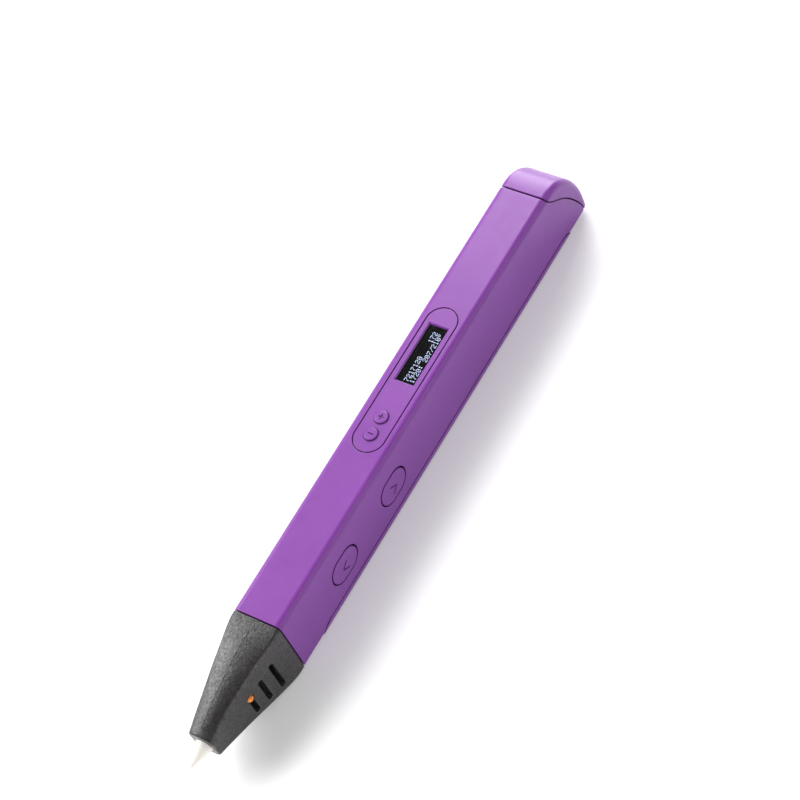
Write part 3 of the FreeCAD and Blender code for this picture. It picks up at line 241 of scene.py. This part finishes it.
def amber():
    """Glossy polyimide film, a little wrinkled."""
    s = Shader("amber", Roughness=0.2, Coat_Weight=0.4, Coat_Roughness=0.05)
    s.colour_from(s.blend(s.noise(900.0, detail=3.0), linear(226, 122, 4), linear(250, 156, 16)))
    s.normal_from(s.bump(s.noise(1500.0, detail=2.0), height=30 * MICRON, strength=0.5))
    return s.material


def metal(name, colour, rough):
    """Machined metal: fine lines that vary its tone, gloss and relief together."""
    s = Shader(name, Metallic=1.0)
    lines = s.noise(2200.0, stretch=(1.0, 0.08, 0.08))
    s.colour_from(s.blend(lines, shade(colour, 0.85), shade(colour, 1.1)))
    s.roughness_from(s.spread(lines, rough - 0.08, rough + 0.1))
    s.normal_from(s.bump(lines, height=10 * MICRON, strength=0.5))
    return s.material


def circuit_board():
    """Green solder mask, mottled by the copper under it."""
    s = Shader("circuit_board", Specular_IOR_Level=0.5)
    copper = s.noise(1400.0, detail=2.0)
    s.colour_from(s.ramp(copper, [(0.45, linear(16, 84, 44)), (0.55, linear(30, 118, 62))]))
    s.roughness_from(s.spread(s.noise(3000.0), 0.25, 0.4))
    return s.material


def window_plastic():
    """Clear plastic, faintly tinted."""
    s = Shader(
        "window_plastic", Base_Color=linear(120, 124, 134), Transmission_Weight=1.0, IOR=1.4)
    s.roughness_from(s.spread(s.noise(2600.0), 0.0, 0.02))
    return s.material


def display_black():
    """The display's unlit glass."""
    s = Shader("display_black", Roughness=0.12)
    s.colour_from(s.blend(s.noise(500.0), linear(8, 8, 14), linear(14, 14, 22)))
    return s.material


def lit_pixels():
    """Bluish white dots, not all of them equally bright."""
    s = Shader("lit_pixels", Roughness=0.5, Emission_Strength=9.0)
    glow = s.blend(s.noise(3000.0, detail=2.0), linear(214, 224, 250), linear(238, 243, 255))
    s.colour_from(glow)
    s.glow_from(glow)
    return s.material


def dress_nodes():
    """One material for each of the record's slots."""
    shallow = 6 * MICRON
    deeper = 10 * MICRON
    finishes = {
        "body_plastic": purple_shell(),
        "knob_plastic": grained_plastic("knob_black", linear(40, 40, 44), 0.4, 5200.0, deeper),
        "nose_plastic": nose_black(),
        "white_ceramic": ceramic(),
        "dark_steel": metal("heated_steel", linear(96, 88, 82), 0.4),
        "amber_film": amber(),
        "steel": metal("turned_steel", linear(190, 190, 194), 0.3),
        "insulator": grained_plastic("insulator", linear(70, 62, 54), 0.6, 4000.0, deeper),
        "ptfe": grained_plastic("ptfe", linear(226, 228, 222), 0.4, 3000.0, shallow),
        "dark_plastic": grained_plastic("dark_moulding", linear(38, 38, 42), 0.45, 5000.0, deeper),
        "brass": metal("turned_brass", linear(214, 176, 96), 0.28),
        "circuit_board": circuit_board(),
        "clear_window": window_plastic(),
        "display_glass": display_black(),
        "chip_epoxy": grained_plastic("chip_epoxy", linear(34, 34, 34), 0.55, 6000.0, shallow),
        "wire_white": grained_plastic("wire_white", linear(214, 210, 200), 0.5, 3000.0, shallow),
        "wire_red": grained_plastic("wire_red", linear(160, 30, 30), 0.5, 3000.0, shallow),
        "wire_black": grained_plastic("wire_black", linear(30, 30, 30), 0.5, 3000.0, shallow),
        "white_nylon": grained_plastic("white_nylon", linear(220, 220, 214), 0.45, 3500.0, shallow),
    }
    for node, piece in NODES.items():
        for entry in piece.material_slots:
            entry.material = finishes[SLOT_OF[node]]


# ---------------------------------------------------------------- display

# Each character is five by seven dots, top row first
DIGITS = {
    "0": "01110 10001 10011 10101 11001 10001 01110",
    "1": "00100 01100 00100 00100 00100 00100 01110",
    "2": "01110 10001 00001 00110 01000 10000 11111",
    "7": "11111 00001 00010 00100 01000 01000 01000",
    "/": "00001 00001 00010 00100 01000 10000 10000",
    ":": "00000 01100 01100 00000 01100 01100 00000",
    "o": "01100 10010 10010 01100 00000 00000 00000",
    " ": "00000 00000 00000 00000 00000 00000 00000",
}
DISPLAY_ROWS = ("7217120    172 ", "1720: 207/210o ")

# Spacing of the dots, the share of it that lights up, and dots from one character or row to the next
DOT_X = 0.1802 * MM
DOT_Y = 0.194 * MM
DOT_FILL = 0.72
CELL_DOTS = 6
ROW_DOTS = 8

# First dot: from the window's end nearest the tip, from the pen's middle plane and above the glass
TEXT_START = 1.8 * MM
TEXT_TOP = 0.8 * MM
DOT_LIFT = 0.01 * MM


def lit_dots():
    """Column and row of each lit dot of the display's text."""
    for row, text in enumerate(DISPLAY_ROWS):
        for place, mark in enumerate(text):
            for y, dots in enumerate(DIGITS[mark].split()):
                for x, dot in enumerate(dots):
                    if dot == "1":
                        yield place * CELL_DOTS + x, row * ROW_DOTS + y


def add_flat(name, outlines, material):
    """A piece made of flat faces, each given by its corners."""
    mesh = bpy.data.meshes.new(name)
    bm = bmesh.new()
    for corners in outlines:
        bm.faces.new([bm.verts.new(corner) for corner in corners])
    bm.to_mesh(mesh)
    bm.free()
    mesh.materials.append(material)
    piece = bpy.data.objects.new(name, mesh)
    bpy.context.scene.collection.objects.link(piece)
    return piece


def rectangle(x0, y0, x1, y1, z):
    """Corners of a level rectangle that faces up."""
    return [(x0, y0, z), (x1, y0, z), (x1, y1, z), (x0, y1, z)]


def display_pixels():
    """The lit dots, just above the display glass."""
    glass_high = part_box("oled_glass")[1]
    window_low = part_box("display_window")[0]
    z = glass_high.z + DOT_LIFT
    outlines = []
    for column, row in lit_dots():
        x0 = window_low.x + TEXT_START + column * DOT_X
        y1 = TEXT_TOP - row * DOT_Y
        outlines.append(rectangle(x0, y1 - DOT_Y * DOT_FILL, x0 + DOT_X * DOT_FILL, y1, z))
    piece = add_flat("display_pixels", outlines, lit_pixels())
    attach(piece, "housing")


# ---------------------------------------------------------------- studio

def floor():
    """A pale matt table that the pen lies on."""
    s = Shader(
        "studio_floor", Roughness=0.75, Specular_IOR_Level=0.2,
        Emission_Color=WHITE, Emission_Strength=FLOOR_GLOW)
    s.colour_from(s.blend(s.noise(3.0), grey(0.90), grey(0.92)))
    outline = rectangle(-FLOOR_HALF, -FLOOR_HALF, FLOOR_HALF, FLOOR_HALF, 0)
    piece = add_flat("studio_floor", [outline], s.material)


def area_light(name, azimuth, elevation, size, radiance, distance=0.9, aim=MIDDLE):
    """A soft box that faces its aim point; azimuth turns from +X towards +Y, in degrees."""
    data = bpy.data.lights.new(name, "AREA")
    data.shape = "RECTANGLE"
    data.size = size[0]
    data.size_y = size[1]
    data.energy = radiance * math.pi * size[0] * size[1]
    light = bpy.data.objects.new(name, data)
    a = math.radians(azimuth)
    e = math.radians(elevation)
    away = Vector((math.cos(a) * math.cos(e), math.sin(a) * math.cos(e), math.sin(e)))
    light.location = aim + away * distance
    light.rotation_mode = "QUATERNION"
    light.rotation_quaternion = (-away).to_track_quat("-Z", "Y")
    bpy.context.scene.collection.objects.link(light)


def studio():
    """Even white surroundings and five area lights."""
    world = bpy.data.worlds.new("studio")
    world.use_nodes = True
    background = world.node_tree.nodes["Background"]
    background.inputs["Color"].default_value = WHITE
    background.inputs["Strength"].default_value = WORLD_STRENGTH
    bpy.context.scene.world = world
    # Broad light on the face and the +Y side
    area_light("side_softbox", azimuth=104.0, elevation=38.0, size=(0.72, 0.65), radiance=7.2)
    # Narrow light on the -Y side and its edges
    area_light("strip_light", azimuth=-66.5, elevation=30.0, size=(0.55, 0.07), radiance=11.0)
    # Broad light that brightens the face towards the tail
    area_light("tail_softbox", azimuth=30.0, elevation=24.0, size=(0.5, 0.74), radiance=7.6, aim=TAIL)
    # Small bright light on the end cap
    area_light("tail_top_light", azimuth=43.0, elevation=50.0, size=(0.2, 0.2), radiance=12.0, aim=END_CAP)
    # Weak, closer light on the nose from the tip's side
    area_light(
        "tip_fill", azimuth=-125.0, elevation=16.0, size=(0.3, 0.08), radiance=3.5, distance=0.4, aim=NOSE)
    bpy.context.scene.view_settings.view_transform = "Standard"


def camera():
    """Looks at the pen from above its -Y side and tip, rolled so that the pen stands steeply."""
    a = math.radians(CAMERA_AZIMUTH)
    e = math.radians(CAMERA_ELEVATION)
    back = Vector((math.sin(a) * math.cos(e), -math.cos(a) * math.cos(e), math.sin(e)))
    level = (-back).cross(Vector((0, 0, 1))).normalized()
    up = back.cross(level)
    roll = math.radians(CAMERA_ROLL)
    right = level * math.cos(roll) + up * math.sin(roll)
    over = back.cross(right)
    data = bpy.data.cameras.new("camera")
    data.lens = CAMERA_LENS
    data.clip_start = CAMERA_CLIP_START
    eye = bpy.data.objects.new("camera", data)
    turn = Matrix((right, over, back)).transposed()
    eye.matrix_world = Matrix.Translation(CAMERA_AIM + back * CAMERA_DISTANCE) @ turn.to_4x4()
    bpy.context.scene.collection.objects.link(eye)
    bpy.context.scene.camera = eye


dress_nodes()
display_pixels()
floor()
studio()
camera()
